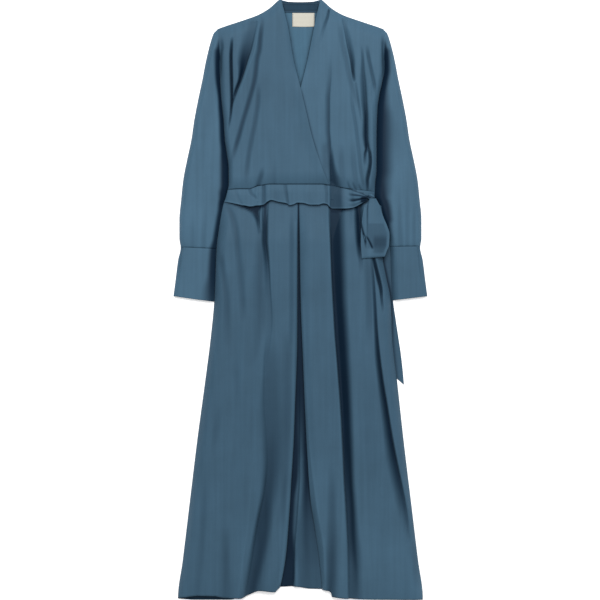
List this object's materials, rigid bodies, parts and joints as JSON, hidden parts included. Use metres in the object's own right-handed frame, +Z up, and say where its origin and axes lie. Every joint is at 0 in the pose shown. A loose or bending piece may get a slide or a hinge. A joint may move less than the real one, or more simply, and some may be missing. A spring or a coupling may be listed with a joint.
{
  "type": "long-sleeve maxi wrap dress, laid flat",
  "caption": "Long-sleeve maxi dress in teal satin crepe, wrap front with V neck, deep cuffs, sash tied at the side, full skirt slit at the centre front, laid flat.",
  "frame": {"origin": "on the surface that the dress lies on, under the middle of its bounding box", "axes": "+X to the wearer's left, +Y from the hem to the collar, +Z up from the surface, out of the front of the dress"},
  "size_m": [0.596, 1.408, 0.03],
  "materials": {
    "crepe": "satin-back crepe with a soft matt sheen",
    "label_cloth": "woven ribbon, blank"
  },
  "bodies": {
    "root": {"back_bodice": "crepe", "skirt_back": "crepe", "back_neck_band": "crepe", "label": "label_cloth", "front_bodice_under": "crepe", "front_bodice_over": "crepe", "sleeve_left": "crepe", "sleeve_right": "crepe", "cuff_left": "crepe", "cuff_right": "crepe", "pleat_underlay": "crepe", "skirt_front_left": "crepe", "skirt_front_right": "crepe", "sash_band": "crepe", "sash_knot": "crepe", "bow_loop": "crepe", "sash_tail": "crepe"}
  },
  "joints": []
}
